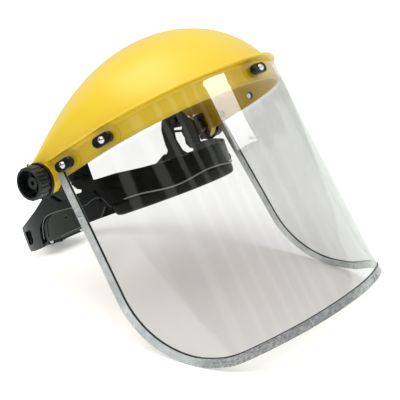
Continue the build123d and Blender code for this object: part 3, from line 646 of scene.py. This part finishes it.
nape_cushion()
# Painted shade lines along the lip, on the sheet's outer and inner faces.
channel_shade_bead("channel_shade_bead_outer", CHANNEL_WIDTH - CHANNEL_WALL + 0.1, 0.05, 0.38)
channel_shade_bead("channel_shade_bead_inner", CHANNEL_WIDTH - CHANNEL_WALL + 0.1, -1.05, 0.38)
EDGE_MIDDLE = CHANNEL_WIDTH / 2 - CHANNEL_WALL
SIDE_MIDDLE = VISOR_REACH - EDGE_MIDDLE
crimp("channel_crimps", [(-SIDE_MIDDLE, -34, 2.9, 0.15), (-SIDE_MIDDLE, -41, 2.9, -0.2),
                         (SIDE_MIDDLE, -36, 2.9, 0.1),
                         (22, VISOR_BOTTOM + 0.4, 2.8, 0.3), (30, VISOR_BOTTOM + 0.6, 2.8, -0.2),
                         (-24, VISOR_BOTTOM + 0.5, 2.8, 0.2), (-66, VISOR_BOTTOM + 1.6, 2.8, -0.3)],
      1.1, 0.55)


# ------------------------------------------------------------------ floor, light and camera
FLOOR_REACH = 9.0
FILL = 0.68  # even light from the surroundings
BACKDROP = 0.75  # bright wall seen in gloss, and which way it stands
BACKDROP_WAY = (0.78, 0.60, 0.15)
TABLE = 1.25  # bright table seen in gloss, and its upward heading
TABLE_UP = (-0.052, 0.325, 0.944)
SOFTBOX_TARGET = Vector((-0.045, -0.070, 0.178))
SOFTBOX_WAY = Vector((0.277, -0.732, 0.6225))
SOFTBOX_AT = SOFTBOX_TARGET + SOFTBOX_WAY * 1.2
SOFTBOX_SIZE = (0.47, 0.17)
SOFTBOX_ROLL = math.radians(-12.5)
SOFTBOX_POWER = 1.9
SOFTBOX_FADE = (0.6, 1.1)
EYE = (-0.55632, -0.38950, 0.31072)
EYE_TURN = (70.4504, -1.2825, -57.0939)  # degrees
LENS, SENSOR = 73.58, 36.0
LENS_SHIFT = (-0.0475, 0.02675)


def floor():
    material = bpy.data.materials.new("pale_floor")
    material.use_nodes = True
    shader = material.node_tree.nodes["Principled BSDF"]
    shader.inputs["Base Color"].default_value = (0.93, 0.93, 0.925, 1)
    shader.inputs["Roughness"].default_value = 0.75
    shader.inputs["Specular IOR Level"].default_value = 0.1
    shader.inputs["Emission Color"].default_value = (1, 1, 1, 1)
    shader.inputs["Emission Strength"].default_value = 0.27
    mesh = bpy.data.meshes.new("floor")
    corners = [(x * FLOOR_REACH, y * FLOOR_REACH, 0) for x, y in ((-1, -1), (1, -1), (1, 1), (-1, 1))]
    mesh.from_pydata(corners, [], [(0, 1, 2, 3)])
    mesh.materials.append(material)
    ground = bpy.data.objects.new("floor", mesh)
    bpy.context.scene.collection.objects.link(ground)
    ground.visible_glossy = False


def area_light(name, at, target, size, power):
    light = bpy.data.lights.new(name, "AREA")
    light.shape = "RECTANGLE"
    light.size, light.size_y = size
    light.energy = power
    lamp = bpy.data.objects.new(name, light)
    lamp.location = at
    lamp.rotation_euler = (Vector(target) - Vector(at)).to_track_quat("-Z", "Y").to_euler()
    lamp.visible_camera = False
    bpy.context.scene.collection.objects.link(lamp)
    return lamp


def fade_lamp(lamp):
    """Softbox that fades towards one of its long ends."""
    light = lamp.data
    light.use_nodes = True
    tree = light.node_tree
    spot = tree.nodes.new("ShaderNodeNewGeometry")
    parts = tree.nodes.new("ShaderNodeSeparateXYZ")
    fade = tree.nodes.new("ShaderNodeMapRange")
    tree.links.new(spot.outputs["Parametric"], parts.inputs[0])
    tree.links.new(parts.outputs["Y"], fade.inputs["Value"])
    near, far = SOFTBOX_FADE
    for key, value in (("From Min", 0.0), ("From Max", 1.0), ("To Min", near), ("To Max", far)):
        fade.inputs[key].default_value = value
    tree.links.new(fade.outputs["Result"], tree.nodes["Emission"].inputs["Strength"])


def sun_light(name, direction, strength, spread):
    light = bpy.data.lights.new(name, "SUN")
    light.energy = strength
    light.angle = math.radians(spread)
    lamp = bpy.data.objects.new(name, light)
    lamp.rotation_euler = Vector(direction).to_track_quat("-Z", "Y").to_euler()
    bpy.context.scene.collection.objects.link(lamp)
    return lamp


def studio():
    """Even white surroundings for fill, dark with soft strips for gloss, and two lamps."""
    world = bpy.data.worlds.new("studio")
    bpy.context.scene.world = world
    world.use_nodes = True
    tree = world.node_tree
    shade = tree.nodes["Background"]
    shade.inputs["Color"].default_value = (1.0, 1.0, 1.0, 1)
    shade.inputs["Strength"].default_value = FILL
    gloss = tree.nodes.new("ShaderNodeBackground")
    gloss.inputs["Color"].default_value = (0.95, 1.0, 0.94, 1)
    coords = tree.nodes.new("ShaderNodeTexCoord")
    strips = tree.nodes.new("ShaderNodeTexWave")
    strips.wave_type = "BANDS"
    strips.bands_direction = "X"
    strips.inputs["Scale"].default_value = 1.5
    strips.inputs["Distortion"].default_value = 3.0
    strips.inputs["Detail"].default_value = 1.0
    strips.inputs["Detail Scale"].default_value = 0.6
    tree.links.new(coords.outputs["Generated"], strips.inputs["Vector"])
    ramp = tree.nodes.new("ShaderNodeMapRange")
    drop = tree.nodes.new("ShaderNodeMapRange")
    behind = tree.nodes.new("ShaderNodeVectorMath")
    behind.operation = "DOT_PRODUCT"
    table = tree.nodes.new("ShaderNodeMapRange")
    below = tree.nodes.new("ShaderNodeVectorMath")
    below.operation = "DOT_PRODUCT"
    for key, value in (("From Min", 0.70), ("From Max", 0.86), ("To Min", 0.03), ("To Max", 0.50)):
        ramp.inputs[key].default_value = value
    tree.links.new(strips.outputs["Fac"], ramp.inputs["Value"])
    tree.links.new(coords.outputs["Generated"], behind.inputs[0])
    behind.inputs[1].default_value = BACKDROP_WAY
    for key, value in (("From Min", 0.1), ("From Max", 0.5), ("To Min", 0.0), ("To Max", BACKDROP)):
        drop.inputs[key].default_value = value
    tree.links.new(behind.outputs["Value"], drop.inputs["Value"])
    tree.links.new(coords.outputs["Generated"], below.inputs[0])
    below.inputs[1].default_value = TABLE_UP
    for key, value in (("From Min", -0.02), ("From Max", 0.0), ("To Min", TABLE), ("To Max", 0.0)):
        table.inputs[key].default_value = value
    tree.links.new(below.outputs["Value"], table.inputs["Value"])
    brightest = ramp.outputs["Result"]
    for other in (drop.outputs["Result"], table.outputs["Result"]):
        both = tree.nodes.new("ShaderNodeMath")
        both.operation = "MAXIMUM"
        tree.links.new(brightest, both.inputs[0])
        tree.links.new(other, both.inputs[1])
        brightest = both.outputs[0]
    tree.links.new(brightest, gloss.inputs["Strength"])
    ray = tree.nodes.new("ShaderNodeLightPath")
    mixed = tree.nodes.new("ShaderNodeMixShader")
    tree.links.new(ray.outputs["Is Glossy Ray"], mixed.inputs[0])
    tree.links.new(shade.outputs[0], mixed.inputs[1])
    tree.links.new(gloss.outputs[0], mixed.inputs[2])
    tree.links.new(mixed.outputs[0], tree.nodes["World Output"].inputs["Surface"])
    softbox = area_light("softbox_front", SOFTBOX_AT, SOFTBOX_TARGET, SOFTBOX_SIZE, SOFTBOX_POWER)
    turned = softbox.rotation_euler.to_matrix() @ Matrix.Rotation(SOFTBOX_ROLL, 3, "Z")
    softbox.rotation_euler = turned.to_euler()
    fade_lamp(softbox)
    area_light("softbox_top", (-0.35, 0.25, 1.5), (0, 0, 0.1), (1.3, 1.0), 9.0)
    sun_light("sky", (0.25, 0.1, -1.0), 0.9, 70)


def camera():
    data = bpy.data.cameras.new("camera")
    data.sensor_width = SENSOR
    data.lens = LENS
    data.shift_x, data.shift_y = LENS_SHIFT
    data.clip_end = 50
    eye = bpy.data.objects.new("camera", data)
    eye.location = EYE
    eye.rotation_euler = [math.radians(angle) for angle in EYE_TURN]
    bpy.context.scene.collection.objects.link(eye)
    bpy.context.scene.camera = eye


floor()
studio()
camera()
bpy.context.scene.view_settings.view_transform = "Standard"
